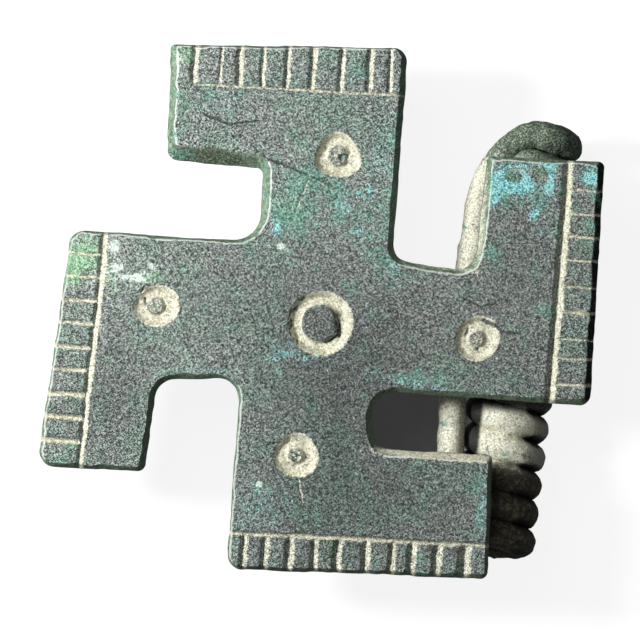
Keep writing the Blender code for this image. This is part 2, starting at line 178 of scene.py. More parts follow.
# Spring, rod, lug, catch and pin, in millimetres
WIRE_RADIUS = 0.825
COIL_RADIUS = 1.775
COIL_CRUST = 0.13
CHORD_CRUST = 0.035
WIRE_SIDES = 28
TURN_POINTS = 64
SPRING_ABOVE = 12.86
SPRING_BELOW = 13.42
SPRING_LEAN = math.radians(2.84)
SPRING_INSET = 4.54
AXIS_HEIGHT = 2.6
CHORD_HEIGHT = 1.2
CHORD_BEND = 4.2
CHORD_TOP_BEND = 5.55
CHORD_POINTS = 120
CHORD_SOFTENING = 15
BEND_PULL = 0.62 * CHORD_BEND
# The chord's bow: places along the axis, and how far to the side of the axis it lies there
CHORD_BOW = ((7.2, -3.47), (5.5, -3.55), (0.0, -3.72), (-4.0, -3.70), (-7.4, -3.34), (-9.0, -3.4))
ROD_RADIUS = 0.65
RUNNING_GAP = 0.3
LUG_THICKNESS = 2.0
LUG_WALL = 0.9
LUG_FLARE = 0.35
LUG_SHOULDER = 0.6
ROOT_DEPTH = 0.3
CATCH_PLACE = 0.628
CATCH_LENGTH = 5.0
FLANGE_THICKNESS = 1.1
GUTTER_WIDTH = 1.3
GUTTER_FLOOR = 0.7
LIP_THICKNESS = 0.8
LIP_HEIGHT = 2.0
CATCH_ROUNDING = 0.35
CATCH_FLARE = 0.2
CATCH_FLARE_HEIGHT = 0.9
CATCH_SHIFT = -0.2
PIN_AT_CATCH = 0.9
PIN_TIP = 0.24
PIN_POINT_LENGTH = 4.5
PIN_PAST_CATCH = 1.2
LOOP_PLACE = LUG_THICKNESS / 2 + RUNNING_GAP + WIRE_RADIUS
UPPER_TURNS = 5.5
LOWER_TURNS = 6.25
SIDE_BACK = math.radians(270)
SIDE_FRONT = math.radians(90)

# The front's general level below the solid's, the spacing of its mesh by the ornament and
# elsewhere, how far the fine mesh reaches beside a cut and past its ends, the back's spacing
FRONT_SINK = 0.03
FINE_SPACING = 0.082
COARSE_SPACING = 0.15
FINE_BESIDE = 0.3
FINE_PAST = 0.4
BACK_SPACING = 0.8
OUTLINE_SPACING = 0.1

# Rows of points up the plate's side: height above the back, how far in. Then the shares of the
# way from the outline to the front's edge at which the rows of the slant lie
SIDE_ROWS = ((0, 0.2), (0.06, 0.06), (0.22, 0), (0.6, 0), (1.0, 0), (1.35, 0))
SLANT_ROWS = (0, 0.2, 0.4, 0.6, 0.8, 1)

# Colours along the wire, from the lug's middle: where each begins or, for the brown end, is over,
# and the length on which it fades. The brown end and the dark stretch under the right arm are
# painted shade
GREEN_END = (8.6, 4.0)
BROWN_SHADE_END = (-6.6, 3.0)
ARM_SHADE = (-5.3, 1.1)

# Floor, and the shade on it under the right side, seen only through the closed slot
FLOOR_HALF = 2
FLOOR_COLOUR = (0.20, 0.20, 0.20, 1)
FLOOR_GLOW = 0.88
SHADE_GLOW = 0.03
SHADE_PLACE = (6.2, -5.6)
SHADE_INNER = 3.6
SHADE_OUTER = 6.2

# Camera above the front, in millimetres, and its turn in degrees
VIEW_PLACE = (0.0135, 0.2516)
VIEW_DISTANCE = 277.8
VIEW_LENS = 250
VIEW_SENSOR = 36
VIEW_TURN = 4

# Lights: azimuth and elevation in degrees, distance and size in metres, power in watts
LIGHTS = {"key": (170, 42, 0.16, 0.036, 0.33), "soft": (135, 60, 0.14, 0.08, 0.035)}
SKY_COLOUR = (0.95, 0.98, 1.0, 1)
SKY_STRENGTH = 0.10

# Coloured patches of the patina, with painted shade among them: plan place, half widths, turn in
# degrees, strength
PATCHES = {
    "turquoise": (
        (11.35, 9.45, 1.2, 0.48, 0, 1.5), (11.47, 9.88, 0.46, 0.22, 0, -3.0),
        (10.7, 9.8, 0.45, 0.5, 0, 1.1), (12.2, 9.9, 0.40, 0.45, 0, 1.1),
        (12.4, 10.70, 1.7, 0.13, 3, 0.85), (13.72, 9.9, 0.36, 1.0, 0, 1.0),
        (13.0, 10.25, 0.50, 0.28, -25, -2.0), (16.25, 10.25, 0.50, 0.45, 0, 1.3),
        (10.4, 8.5, 0.3, 0.5, 0, 0.9), (12.93, 7.76, 0.28, 0.5, -20, 0.9),
        (13.41, 6.7, 0.3, 0.3, 0, 0.5), (-3.1, 5.68, 0.3, 0.6, 0, 0.7),
        (2.01, 5.78, 0.35, 0.4, 0, 0.62), (1.08, 7.34, 0.6, 0.35, 0, 0.6),
        (1.75, 8.25, 0.45, 0.2, 25, 0.6), (2.55, 8.5, 0.2, 0.6, 8, 0.55),
        (10.9, -10.9, 0.25, 2.0, -3, 0.5), (-0.15, -1.9, 1.8, 0.7, 10, 0.33),
        (-6.3, -3.6, 1.2, 0.35, 0, 0.45), (-2.9, -11.6, 2.0, 1.6, 0, 0.30),
        (2.0, 15.6, 0.6, 0.35, 0, 0.45), (-6.9, 13.2, 1.2, 0.5, 0, 0.35),
        (6.2, -3.4, 2.5, 0.35, -4, 0.42), (4.4, 4.0, 0.5, 1.1, 0, 0.38),
        (3.2, 10.5, 0.8, 2.0, 0, 0.33), (-2.3, -2.2, 0.9, 0.3, 20, 0.45),
    ),
    "teal": (
        (0.3, 7.4, 4.2, 1.7, -6, 0.62), (-2.4, 6.2, 1.5, 1.8, 0, 0.55),
        (10.6, 5.7, 1.2, 1.9, 0, 0.55), (12.2, 8.6, 2.2, 0.8, 0, 0.60),
        (12.4, 10.0, 2.2, 1.0, 0, 0.60), (16.3, 8.0, 0.7, 3.0, 0, 0.55),
        (4.1, 11.2, 0.45, 4.8, -3, 0.62), (1.5, 15.9, 2.8, 0.6, 0, 0.50),
        (8.0, -14.7, 3.0, 0.7, 0, 0.50), (-7.5, 9.6, 2.8, 0.6, -8, 0.45),
        (-15.6, -9.4, 1.2, 1.0, 0, 0.50), (-8.0, 13.6, 2.0, 1.2, 0, 0.42),
        (3.6, 4.2, 1.6, 1.0, 0, 0.50), (6.6, -3.0, 3.0, 0.6, -4, 0.50),
        (10.7, -11.0, 0.5, 3.0, 0, 0.50), (-1.8, -11.5, 2.6, 2.0, 0, 0.14),
        (-0.2, -1.8, 2.8, 1.0, 0, 0.18), (-9.8, 11.0, 0.6, 3.0, 0, 0.45),
        (-4.6, -14.4, 0.8, 1.0, 0, 0.40), (13.6, 2.0, 1.0, 2.5, 0, 0.30),
        (2.4, 1.8, 1.0, 1.0, 0, 0.35),
    ),
    "green": (
        (-14.9, 3.3, 0.9, 1.1, 0, 0.9), (-15.7, 2.2, 0.5, 1.0, 0, 0.9),
        (-9.5, 16.2, 0.7, 0.6, -30, 0.75), (-11.0, 2.1, 1.0, 0.5, 10, 0.70),
        (-2.4, 7.3, 0.8, 0.7, 0, 0.40), (13.04, 10.2, 0.5, 0.3, -25, 0.6),
        (16.1, 6.4, 0.5, 0.8, 0, 0.4), (-13.2, 2.0, 0.6, 1.4, 0, 0.55),
        (-10.3, 0.35, 0.45, 0.35, 0, 0.55),
    ),
    "mint": (
        (-13.1, 3.9, 0.35, 0.45, 0, 0.9), (-12.9, 2.6, 0.5, 0.4, 20, 0.75),
        (-11.4, 2.0, 0.45, 0.3, 0, 0.7), (-10.7, 2.75, 0.35, 0.25, 0, 0.65),
        (-12.1, 2.0, 0.8, 0.2, 10, 0.75), (-2.71, 4.61, 0.17, 0.15, 0, 1.6),
        (-3.07, -10.3, 0.16, 0.14, 0, 1.5), (-14.2, 1.9, 0.4, 0.6, 0, 0.5),
        (-9.9, 15.9, 0.2, 0.5, 0, 0.6),
    ),
    # Dark stains, and along the slant under the top hook (-7.6, 9.85) a dark band of painted shade
    "dark": (
        (-8.0, 10.4, 2.0, 1.2, 0, 0.4), (2.6, -12.2, 2.5, 1.5, 0, 0.3),
        (8.5, 7.6, 0.5, 2.0, 0, 0.3), (-4.2, 5.2, 0.5, 0.3, 0, 0.5),
        (14.2, -3.4, 1.2, 1.0, 0, 0.3), (11.43, 9.92, 0.42, 0.2, 0, 1.0),
        (-14.4, 3.65, 0.25, 0.35, 0, 0.8), (9.5, -0.9, 2.5, 1.4, 0, 0.25),
        (2.9, 7.2, 0.8, 0.9, 0, 0.35), (-5.0, 1.0, 1.0, 2.0, 0, 0.25),
        (-7.6, 9.85, 2.4, 0.36, -2, 1.3), (11.47, 9.85, 0.36, 0.22, 0, 1.6),
        (13.1, 10.35, 0.7, 0.3, -20, 0.7),
    ),
    # Darker towards the middle, the bottom and the right: painted shade standing in for the light's
    # fall-off
    "falloff_shade": (
        (2.5, -1.0, 5.0, 4.0, 0, 0.8), (1.0, -9.5, 4.6, 6.0, 0, 0.95),
        (8.5, -11.0, 3.6, 4.0, 0, 0.5), (12.0, 5.0, 3.0, 4.0, 0, 0.52),
        (13.0, -2.0, 3.5, 3.0, 0, 0.35), (-12.6, -5.8, 2.5, 3.2, 0, 0.7),
        (-5.2, 1.4, 3.2, 3.4, 0, 0.28),
    ),
}

# Pale deposit outside the cuts: a lump in the right band, along two edges of the notches. The strips
# along the notch edges that face the key light are partly painted highlight
DEPOSITS_AND_HIGHLIGHTS = (
    (16.26, 1.76, 0.42, 0.17, 0, 1.1), (8.0, -7.70, 3.2, 0.25, 0, 1.35),
    (9.62, 7.4, 0.30, 3.4, 0, 0.62),
    (7.6, 4.0, 2.2, 0.13, -3, 0.55), (-13.3, 1.5, 0.15, 1.2, 0, 0.4),
)

# Worn bright line along the front's edge, partly wear and partly painted highlight: its width, and
# the way it faces, towards the key light, where the painted highlight is brightest
RIM_WIDTH = 0.075
HIGHLIGHT_WAY = (-0.85, 0.53)

# The way that the edges with painted shade face, away from the key light
SHADED_WAY = (0.97, 0.24)

# Width over which the slant's colours come in past the front's edge
EDGE_FADE = 0.1

# Fine scratches: plan points, width, how pale the deposit in them is; below zero, a dark crack
SCRATCHES = (
    (((-8.05, 12.47), (-6.45, 12.02), (-4.72, 12.33)), 0.15, -0.9),
    (((-4.85, 10.75), (-4.32, 10.12), (-2.1, 9.45), (0.05, 8.65)), 0.15, -0.8),
    (((-1.24, 9.19), (-1.55, 8.0), (-1.9, 6.95)), 0.12, 0.6),
    (((-0.59, -9.88), (-0.25, -11.17)), 0.12, 0.7),
    (((6.2, -1.0), (7.6, -1.5)), 0.10, 0.4),
    (((-3.4, 7.9), (-2.9, 6.9)), 0.10, 0.5),
    (((8.85, 2.2), (9.9, 1.75), (10.9, 1.95)), 0.14, -0.7),
    (((10.2, 0.9), (11.6, 0.25), (12.6, 0.2)), 0.14, -0.6),
)

# Colours over the grain of the patina and the wire: place on the ramp, red, green and blue
TONES = {
    "plate": (
        (0.410, 0.010, 0.012, 0.011), (0.484, 0.054, 0.065, 0.059),
        (0.542, 0.190, 0.218, 0.199), (0.602, 0.66, 0.72, 0.67),
    ),
    "slant": ((0.36, 0.07, 0.11, 0.07), (0.52, 0.17, 0.26, 0.165), (0.66, 0.32, 0.42, 0.28)),
    "dark": ((0.41, 0.016, 0.020, 0.014), (0.51, 0.055, 0.070, 0.045), (0.60, 0.21, 0.26, 0.16)),
    "teal": ((0.41, 0.010, 0.046, 0.032), (0.50, 0.070, 0.18, 0.130), (0.60, 0.36, 0.66, 0.54)),
    "green": ((0.40, 0.045, 0.14, 0.065), (0.50, 0.16, 0.37, 0.19), (0.59, 0.60, 0.86, 0.58)),
    "turquoise": ((0.41, 0.01, 0.11, 0.12), (0.490, 0.12, 0.55, 0.56), (0.57, 0.54, 0.98, 0.95)),
    "mint": ((0.40, 0.26, 0.40, 0.30), (0.48, 0.62, 0.79, 0.66), (0.57, 0.90, 0.98, 0.92)),
    "side": ((0.35, 0.05, 0.055, 0.045), (0.65, 0.20, 0.23, 0.18)),
    "filling": (
        (0.38, 0.10, 0.085, 0.05), (0.45, 0.38, 0.36, 0.25),
        (0.51, 0.66, 0.65, 0.49), (0.58, 0.92, 0.91, 0.76),
    ),
    "bronze": ((0.35, 0.045, 0.042, 0.030), (0.52, 0.16, 0.165, 0.115), (0.68, 0.30, 0.31, 0.22)),
    "cream": ((0.34, 0.27, 0.25, 0.16), (0.46, 0.64, 0.63, 0.48), (0.60, 0.93, 0.92, 0.78)),
    "verdigris": (
        (0.38, 0.025, 0.045, 0.032), (0.50, 0.095, 0.135, 0.098), (0.64, 0.40, 0.46, 0.33),
    ),
    "brown": ((0.38, 0.036, 0.032, 0.023), (0.55, 0.12, 0.10, 0.065), (0.68, 0.27, 0.23, 0.14)),
    "rod": ((0.35, 0.035, 0.03, 0.02), (0.52, 0.12, 0.105, 0.07), (0.68, 0.25, 0.24, 0.16)),
}

LATTICE = np.random.default_rng(7).uniform(-1, 1, (64, 64, 64))


def lumps(points, size, seed):
    """Smooth random values of about one size of lump, the same on every run."""
    place = points / size + seed * 17.37
    base = np.floor(place).astype(int)
    share = place - base
    share = share * share * (3 - 2 * share)
    total = np.zeros(len(points))
    for corner in range(8):
        step = np.array([corner & 1, corner >> 1 & 1, corner >> 2 & 1])
        weight = np.prod(np.where(step == 1, share, 1 - share), axis=1)
        index = (base + step) % 64
        total += weight * LATTICE[index[:, 0], index[:, 1], index[:, 2]]
    return total


def flat(plan):
    """Plan points as points in space."""
    return np.column_stack((plan, np.zeros(len(plan))))


def smooth(value):
    """Rises softly from 0 to 1 while the value does."""
    value = np.clip(value, 0, 1)
    return value * value * (3 - 2 * value)


def rise(value, start, length):
    """Rises softly from 0 to 1 over a length from where it starts."""
    return smooth((value - start) / length)


def fall(value, end, length):
    """Falls softly from 1 to 0 over a length, up to where it ends."""
    return smooth((end - value) / length)


def arm_point(arm, outwards, hookwards):
    """Plan position from an arm's own axes, where the top arm points along +Y."""
    turn = Matrix.Rotation(-math.radians(90) * ARM_NAMES.index(arm), 2)
    return turn @ Vector((-hookwards, outwards))


def arm_corners(arm):
    hook_start = HALF_ARM + NOTCH_WIDTH
    regular = (
        (HALF_ARM, HALF_ARM),
        (hook_start, HALF_ARM),
        (hook_start, HOOK_REACH),
        (REACH, HOOK_REACH),
        (REACH, -HALF_ARM),
    )
    return [
        (outwards + stray_out, hookwards + stray_hook)
        for (outwards, hookwards), (stray_out, stray_hook, _, _) in zip(regular, CORNERS[arm])
    ]


def outer_edge(arm):
    """The arm's outer edge, from its hook's corner to its shoulder, in the arm's own axes."""
    corners = arm_corners(arm)
    return Vector(corners[3]), Vector(corners[4])


def line_crossing(point_a, along_a, point_b, along_b):
    across = along_a.x * along_b.y - along_a.y * along_b.x
    gap = point_b - point_a
    return point_a + along_a * ((gap.x * along_b.y - gap.y * along_b.x) / across)


def corner_arc(corner, along_in, along_out, radius, steps):
    turn = math.atan2(along_in.x * along_out.y - along_in.y * along_out.x, along_in.dot(along_out))
    start = corner - along_in * (radius * math.tan(abs(turn) / 2))
    centre = start + Vector((-along_in.y, along_in.x)) * math.copysign(radius, turn)
    return [
        centre + Matrix.Rotation(turn * step / steps, 2) @ (start - centre)
        for step in range(steps + 1)
    ]


def plate_loop(slant_share, steps):
    """Rounded outline, clockwise; a share of 1 gives the front's edge inside the slant."""
    corners, radii, slants = [], [], []
    for arm in ARM_NAMES:
        for place, (_, _, radius, slant) in zip(arm_corners(arm), CORNERS[arm]):
            corners.append(arm_point(arm, *place))
            radii.append(radius)
            slants.append(slant * slant_share)
    count = len(corners)
    ways = [(corners[(i + 1) % count] - corners[i]).normalized() for i in range(count)]
    loop = []
    for i, corner in enumerate(corners):
        way_in, way_out = ways[i - 1], ways[i]
        shifted_in = corner + Vector((way_in.y, -way_in.x)) * slants[i - 1]
        shifted_out = corner + Vector((way_out.y, -way_out.x)) * slants[i]
        inner_corner = line_crossing(shifted_in, way_in, shifted_out, way_out)
        hollow = way_in.x * way_out.y - way_in.y * way_out.x > 0
        mean_slant = (slants[i - 1] + slants[i]) / 2
        radius = radii[i] + mean_slant if hollow else max(radii[i] - mean_slant, radii[i] / 2)
        loop.extend(corner_arc(inner_corner, way_in, way_out, radius, steps))
    return np.array([tuple(point) for point in loop])


def with_more_points(loop, counts):
    """A closed loop with even points added on each of its straight steps."""
    rows = []
    for i, count in enumerate(counts):
        start, end = loop[i], loop[(i + 1) % len(loop)]
        rows.append(start + (end - start) * (np.arange(count)[:, None] / count))
    return np.vstack(rows)


def outward_sides(loop):
    way = np.roll(loop, -1, axis=0) - np.roll(loop, 1, axis=0)
    way /= np.linalg.norm(way, axis=1)[:, None]
    return np.column_stack((-way[:, 1], way[:, 0]))


def strokes():
    """Every straight incised cut: start, end, width, how pale its filling is."""
    for arm in ARM_NAMES:
        start_share, insets, line_width, line_paleness, cut_width, cut_paleness, cuts = BANDS[arm]
        hook_inset, shoulder_inset = insets
        hook_end, shoulder_end = outer_edge(arm)
        line_start = hook_end - Vector((hook_inset, 0))
        line_end = shoulder_end - Vector((shoulder_inset, 0))
        way = line_end - line_start
        start = arm_point(arm, *(line_start + way * start_share))
        end = arm_point(arm, *(line_end + way.normalized() * CUT_OVERRUN))
        yield start, end, line_width, line_paleness
        for place, own_width in cuts:
            outer = hook_end.lerp(shoulder_end, place)
            inner = outer - Vector((hook_inset + (shoulder_inset - hook_inset) * place, 0))
            ends = arm_point(arm, *inner), arm_point(arm, *(outer + Vector((CUT_OVERRUN, 0))))
            yield *ends, cut_width * own_width, cut_paleness


def ring_middles():
    for name, (share, hookwards, *figures) in RINGS.items():
        arm = "top" if name == "centre" else name
        middle = np.array(tuple(arm_point(arm, share * REACH, hookwards)))
        yield middle, *figures


def beside_line(plan, start, end):
    """How far plan points lie to the left of a line and along it, its length and its left."""
    start, end = np.array(tuple(start)), np.array(tuple(end))
    length = np.linalg.norm(end - start)
    way = (end - start) / length
    left = np.array((-way[1], way[0]))
    offset = plan - start
    return offset @ left, offset @ way, length, left


def spot_reach(plan, x, y, half_x, half_y, degrees):
    """Squared distance from the middle of an oval spot, 1 on the oval's edge."""
    turn = math.radians(degrees)
    dx, dy = plan[:, 0] - x, plan[:, 1] - y
    u = (dx * math.cos(turn) + dy * math.sin(turn)) / half_x
    v = (dy * math.cos(turn) - dx * math.sin(turn)) / half_y
    return u * u + v * v


def cut_strokes(plan, swell, depth, filling, near):
    for start, end, width, paleness in strokes():
        across, along, length, left = beside_line(plan, start, end)
        close = np.abs(across) < width / 2 + FINE_BESIDE
        here = np.nonzero(close & (along > -FINE_PAST) & (along < length + FINE_PAST))[0]
        half = width / 2 * swell[here]
        profile = np.clip(1 - np.abs(across[here]) / half, 0, 1)
        ends = smooth((along[here] + 0.1) / 0.3) * smooth((length - along[here] + 0.1) / 0.3)
        depth[here] = np.maximum(depth[here], width * CUT_STEEPNESS * profile * ends)
        # Pale filling moved towards the lit right wall, leaving painted shade on the left wall
        from_lit_side = np.abs(across[here] - left[0] * (0.05 + 0.22 * width)) / half
        haze = smooth(1.15 - from_lit_side) * ends
        filling[here] = np.maximum(filling[here], paleness * haze)
        near[here] = True


def cut_rings(plan, swell, depth, filling, near):
    for middle, outer, inner, ring_depth, dot_drop, stray, lobes, turn in ring_middles():
        offset = plan - middle
        distance = np.linalg.norm(offset, axis=1)
        here = np.nonzero(distance < outer + FINE_PAST)[0]
        angle = np.arctan2(offset[here, 1], offset[here, 0])
        edge = outer + stray * np.cos(lobes * (angle - math.radians(turn)))
        r = distance[here]
        groove = smooth((edge + 0.06 - r) / 0.44) * smooth((r - inner + 0.06) / 0.2)
        dot = dot_drop * smooth((inner + 0.1 - r) / 0.25)
        depth[here] = np.maximum(depth[here], ring_depth * groove * swell[here] ** 0.5 + dot)
        # Pale filling moved towards the lit right side of the ring, leaving painted shade on its
        # left
        from_lit_side = np.linalg.norm(offset[here] - np.array((0.10, 0)), axis=1)
        dot_edge = 0.1 + 1.6 * dot_drop
        pale = smooth((edge + 0.16 - from_lit_side) / 0.24) * smooth((r - inner + dot_edge / 2) / dot_edge)
        if dot_drop:
            pale = np.maximum(pale, DOT_PALENESS * smooth((inner + 0.2 - r) / 0.2))
        filling[here] = np.maximum(filling[here], pale)
        near[here] = True


def sink_pits(plan, depth, filling, near):
    for *oval, pit_depth in PITS:
        reach = spot_reach(plan, *oval)
        hollow = smooth(1.3 - reach)
        depth += pit_depth * hollow
        filling *= 1 - hollow
        near |= reach < 2.5


def cut_scratches(plan, depth, filling, near):
    for points, width, paleness in SCRATCHES:
        stronger = np.minimum if paleness < 0 else np.maximum
        for start, end in zip(points, points[1:]):
            across, along, length, _ = beside_line(plan, start, end)
            across = np.abs(across)
            here = np.nonzero((across < width) & (along > -0.05) & (along < length + 0.05))[0]
            profile = np.clip(1 - across[here] / (width / 2), 0, 1)
            depth[here] = np.maximum(depth[here], width * SCRATCH_STEEPNESS * profile)
            filling[here] = stronger(filling[here], paleness * smooth(profile * 2))
            near[here] = True


def ornament(plan):
    """Depth of the incised ornament below the front, its pale filling, and nearness to it.

    The filling is moved towards the right sides of the grooves, which face the key light, so the
    shaded left walls stay dark: the pale deposit is real, and keeping it off the shaded walls is
    painted shade. Below zero, it is a dark crack.
    """
    place = flat(plan)
    bend = np.column_stack((lumps(place, 0.9, 11), lumps(place, 0.9, 12)))
    ripple = np.column_stack((lumps(place, 0.28, 13), lumps(place, 0.28, 14)))
    warped = plan + 0.05 * bend + 0.03 * ripple
    swell = 1 + 0.30 * lumps(place, 0.55, 15)
    depth = np.zeros(len(plan))
    filling = np.zeros(len(plan))
    near = np.zeros(len(plan), bool)
    cut_strokes(warped, swell, depth, filling, near)
    cut_rings(plan + 0.045 * bend, swell, depth, filling, near)
    sink_pits(plan, depth, filling, near)
    cut_scratches(warped, depth, filling, near)
    return depth, filling, near


def hexagon_grid(low, high, spacing):
    """Plan points of a triangular grid, a little uneven."""
    columns = np.arange(low[0], high[0], spacing)
    rows = np.arange(low[1], high[1], spacing * math.sqrt(3) / 2)
    x, y = np.meshgrid(columns, rows)
    x = x + (np.arange(len(rows)) % 2)[:, None] * spacing / 2
    points = np.column_stack((x.ravel(), y.ravel()))
    uneven = np.random.default_rng(3).uniform(-1, 1, points.shape)
    return points + uneven * spacing * 0.12


def reach_past(loop, plan):
    """How far plan points lie outside a clockwise loop, and which way its nearest side faces."""
    tree = tree_of(loop)
    nearest = np.array([tree.find((x, y, 0))[1] for x, y in plan])
    facing = outward_sides(loop)[nearest]
    return np.sum((plan - loop[nearest]) * facing, axis=1), facing


def tree_of(points):
    tree = KDTree(len(points))
    for i, point in enumerate(points):
        tree.insert((point[0], point[1], 0), i)
    tree.balance()
    return tree


def distances(tree, points):
    return np.array([tree.find((x, y, 0))[2] for x, y in points])


def filled_loop(loop, inner_points):
    """Triangles that fill a loop by way of points inside it, counted on from the loop's own."""
    count = len(loop)
    points = [Vector(point) for point in np.vstack((loop, inner_points))]
    whole = [list(range(count))[::-1]]
    _, _, faces, origins, _, inside = delaunay_2d_cdt(points, [], whole, 0, 1e-7, True)
    source = np.array([origin[0] for origin in origins])
    triangles = source[np.array([face for face, owners in zip(faces, inside) if owners])]
    corners = np.vstack((loop, inner_points))[triangles]
    edge_a, edge_b = corners[:, 1] - corners[:, 0], corners[:, 2] - corners[:, 0]
    backward = edge_a[:, 0] * edge_b[:, 1] - edge_a[:, 1] * edge_b[:, 0] < 0
    triangles[backward] = triangles[backward][:, ::-1]
    return triangles


def keep_used(triangles, fixed, first_free):
    """Numbers points anew after the fixed ones, and says which of the free ones are in use."""
    used = np.unique(triangles)
    used = used[used >= fixed]
    renumber = np.full(triangles.max() + 1, -1)
    renumber[:fixed] = np.arange(fixed)
    renumber[used] = first_free + np.arange(len(used))
    return renumber[triangles], used - fixed


def wall_faces(rows, count, flipped=False):
    """Faces between closed rows of points."""
    faces = []
    for low in range(0, (rows - 1) * count, count):
        high = low + count
        for i in range(count):
            j = (i + 1) % count
            if flipped:
                faces.append((low + i, high + i, high + j, low + j))
            else:
                faces.append((low + i, low + j, high + j, high + i))
    return faces


def side_rows(outline, front_edge, side):
    """Plan points and heights of each row, up the plate's side and over its worn slant."""
    rows = []
    for height, inset in SIDE_ROWS:
        plan = outline - side * inset
        z = np.full(len(plan), PLATE_BACK + height)
        pits = 0.04 * lumps(np.column_stack((plan, z)), 0.5, 5)
        rows.append((plan + side * np.minimum(pits, 0)[:, None], z))
    for share in SLANT_ROWS:
        plan = outline + (front_edge - outline) * share
        depth, _, _ = ornament(plan)
        drop = SLANT_DROP * (1 - share) ** 1.08
        worn = 0.035 * lumps(flat(plan), 0.45, 6) * (1 - abs(2 * share - 1))
        rows.append((plan, PLATE_FRONT - drop - depth * (0.35 + 0.65 * share) + worn - FRONT_SINK))
    return rows


def front_field(rim):
    """Points inside the front's edge, their distances from it, and triangles over the front."""
    tree = tree_of(rim)
    low, high = rim.min(axis=0), rim.max(axis=0)
    fine = hexagon_grid(low, high, FINE_SPACING)
    fine = fine[ornament(fine)[2]]
    coarse = hexagon_grid(low, high, COARSE_SPACING)
    coarse = coarse[~ornament(coarse)[2]]
    inner = np.vstack((fine, coarse))
    inner = inner[distances(tree, inner) > 0.06]
    triangles, used = keep_used(filled_loop(rim, inner), len(rim), len(rim))
    inner = inner[used]
    return inner, distances(tree, inner), triangles


def front_heights(inner, rim_distance):
    depth, filling, _ = ornament(inner)
    place = flat(inner)
    lumpy = 0.05 * lumps(place, 0.24, 7) * np.maximum(filling, 0)
    broad = 0.03 * lumps(place, 3.5, 8) + 0.016 * lumps(place, 0.9, 9)
    pits = np.minimum(0, 0.3 + lumps(place, 0.3, 10)) * 0.05
    sag = 0.05 * np.exp(-rim_distance / 0.16)
    calm = smooth(rim_distance / 0.4)
    return PLATE_FRONT - FRONT_SINK - depth + (lumpy + broad + pits) * calm - sag * calm


def plate_mesh():
    """The whole plate with its relief, before the lug and the catch are joined to it."""
    plain = plate_loop(0, 8)
    lengths = np.linalg.norm(np.roll(plain, -1, axis=0) - plain, axis=1)
    counts = np.maximum(1, np.ceil(lengths / OUTLINE_SPACING)).astype(int)
    outline = with_more_points(plain, counts)
    front_edge = with_more_points(plate_loop(1, 8), counts)
    side = outward_sides(outline)
    place = flat(outline)
    stray = 0.06 * lumps(place, 1.7, 1) + 0.035 * lumps(place, 0.5, 2) - 0.035
    outline = outline + side * stray[:, None]
    edge_stray = stray * 0.6 + 0.07 * lumps(place, 0.8, 3) + 0.04 * lumps(place, 0.3, 4)
    front_edge = front_edge + side * edge_stray[:, None]

    rows = side_rows(outline, front_edge, side)
    rim = rows[-1][0]
    count = len(rim)
    inner, rim_distance, triangles = front_field(rim)
    points = [np.column_stack(row) for row in rows]
    points.append(np.column_stack((inner, front_heights(inner, rim_distance))))
    faces = wall_faces(len(rows), count, flipped=True)
    faces.extend(map(tuple, (triangles + (len(rows) - 1) * count).tolist()))

    back_loop = rows[0][0]
    back_inner = hexagon_grid(rim.min(axis=0), rim.max(axis=0), BACK_SPACING)
    back_inner = back_inner[distances(tree_of(back_loop), back_inner) > BACK_SPACING / 2]
    total = sum(len(part) for part in points)
    back, used = keep_used(filled_loop(back_loop, back_inner), count, total)
    back_inner = back_inner[used]
    uneven = 0.06 * lumps(flat(back_inner), 2.5, 16)
    points.append(np.column_stack((back_inner, PLATE_BACK + 0.03 + np.maximum(uneven, -0.03))))
    faces.extend(map(tuple, back[:, ::-1].tolist()))
    points = np.vstack(points)
    points[:, 2] = np.minimum(points[:, 2], PLATE_FRONT)
    return points, faces, rim


OUTLINE = plate_loop(0, 4)
SHIFT = np.append(-(OUTLINE.min(axis=0) + OUTLINE.max(axis=0)) / 2, 0)


def add_object(name, data):
    obj = bpy.data.objects.new(name, data)
    bpy.context.scene.collection.objects.link(obj)
    return obj


def add_mesh(name, points, faces):
    """A mesh object from points in millimetres about the centre ring."""
    mesh = bpy.data.meshes.new(name)
    mesh.from_pydata(((points + SHIFT) * MM).tolist(), [], faces)
    mesh.update()
    return add_object(name, mesh)


FOOT = np.array((arm_point("right", *outer_edge("right")[0]).x - SPRING_INSET, 0, AXIS_HEIGHT))
ALONG = np.array((math.sin(SPRING_LEAN), math.cos(SPRING_LEAN), 0))
ACROSS = np.array((math.cos(SPRING_LEAN), -math.sin(SPRING_LEAN), 0))
UP = np.array((0, 0, 1))


def near_spring(across_by, along_by, height):
    """Positions from the spring's own axes: to its right, up along it, and above it."""
    return (
        FOOT
        + np.multiply.outer(across_by, ACROSS)
        + np.multiply.outer(along_by, ALONG)
        + np.multiply.outer(height, UP)
    )


def on_coil(angle, along_by):
    return near_spring(COIL_RADIUS * np.cos(angle), along_by, COIL_RADIUS * np.sin(angle))


def helix(turns, low, high):
    """Points of the coil between two places along the axis, from its back side on."""
    share = np.linspace(0, 1, int(turns * TURN_POINTS))
    return on_coil(SIDE_BACK + 2 * math.pi * turns * share, low + (high - low) * share)


def prism(name, section, place, reach, rounding):
    """A closed section carried by a reach each way from its middle, with its edges rounded."""
    count = len(section)
    sides = [(across, side, height) for side in (-reach, reach) for across, height in section]
    points = np.array([place(*point) for point in sides])
    faces = wall_faces(2, count)
    faces.append(tuple(range(count))[::-1])
    faces.append(tuple(range(count, 2 * count)))
    obj = add_mesh(name, points, faces)
    bm = bmesh.new()
    bm.from_mesh(obj.data)
    bmesh.ops.recalc_face_normals(bm, faces=bm.faces)
    bm.to_mesh(obj.data)
    bm.free()
    if rounding:
        bevel = obj.modifiers.new("rounding", "BEVEL")
        bevel.width = rounding * MM
        bevel.segments = 3
        bevel.angle_limit = math.radians(40)
    return obj


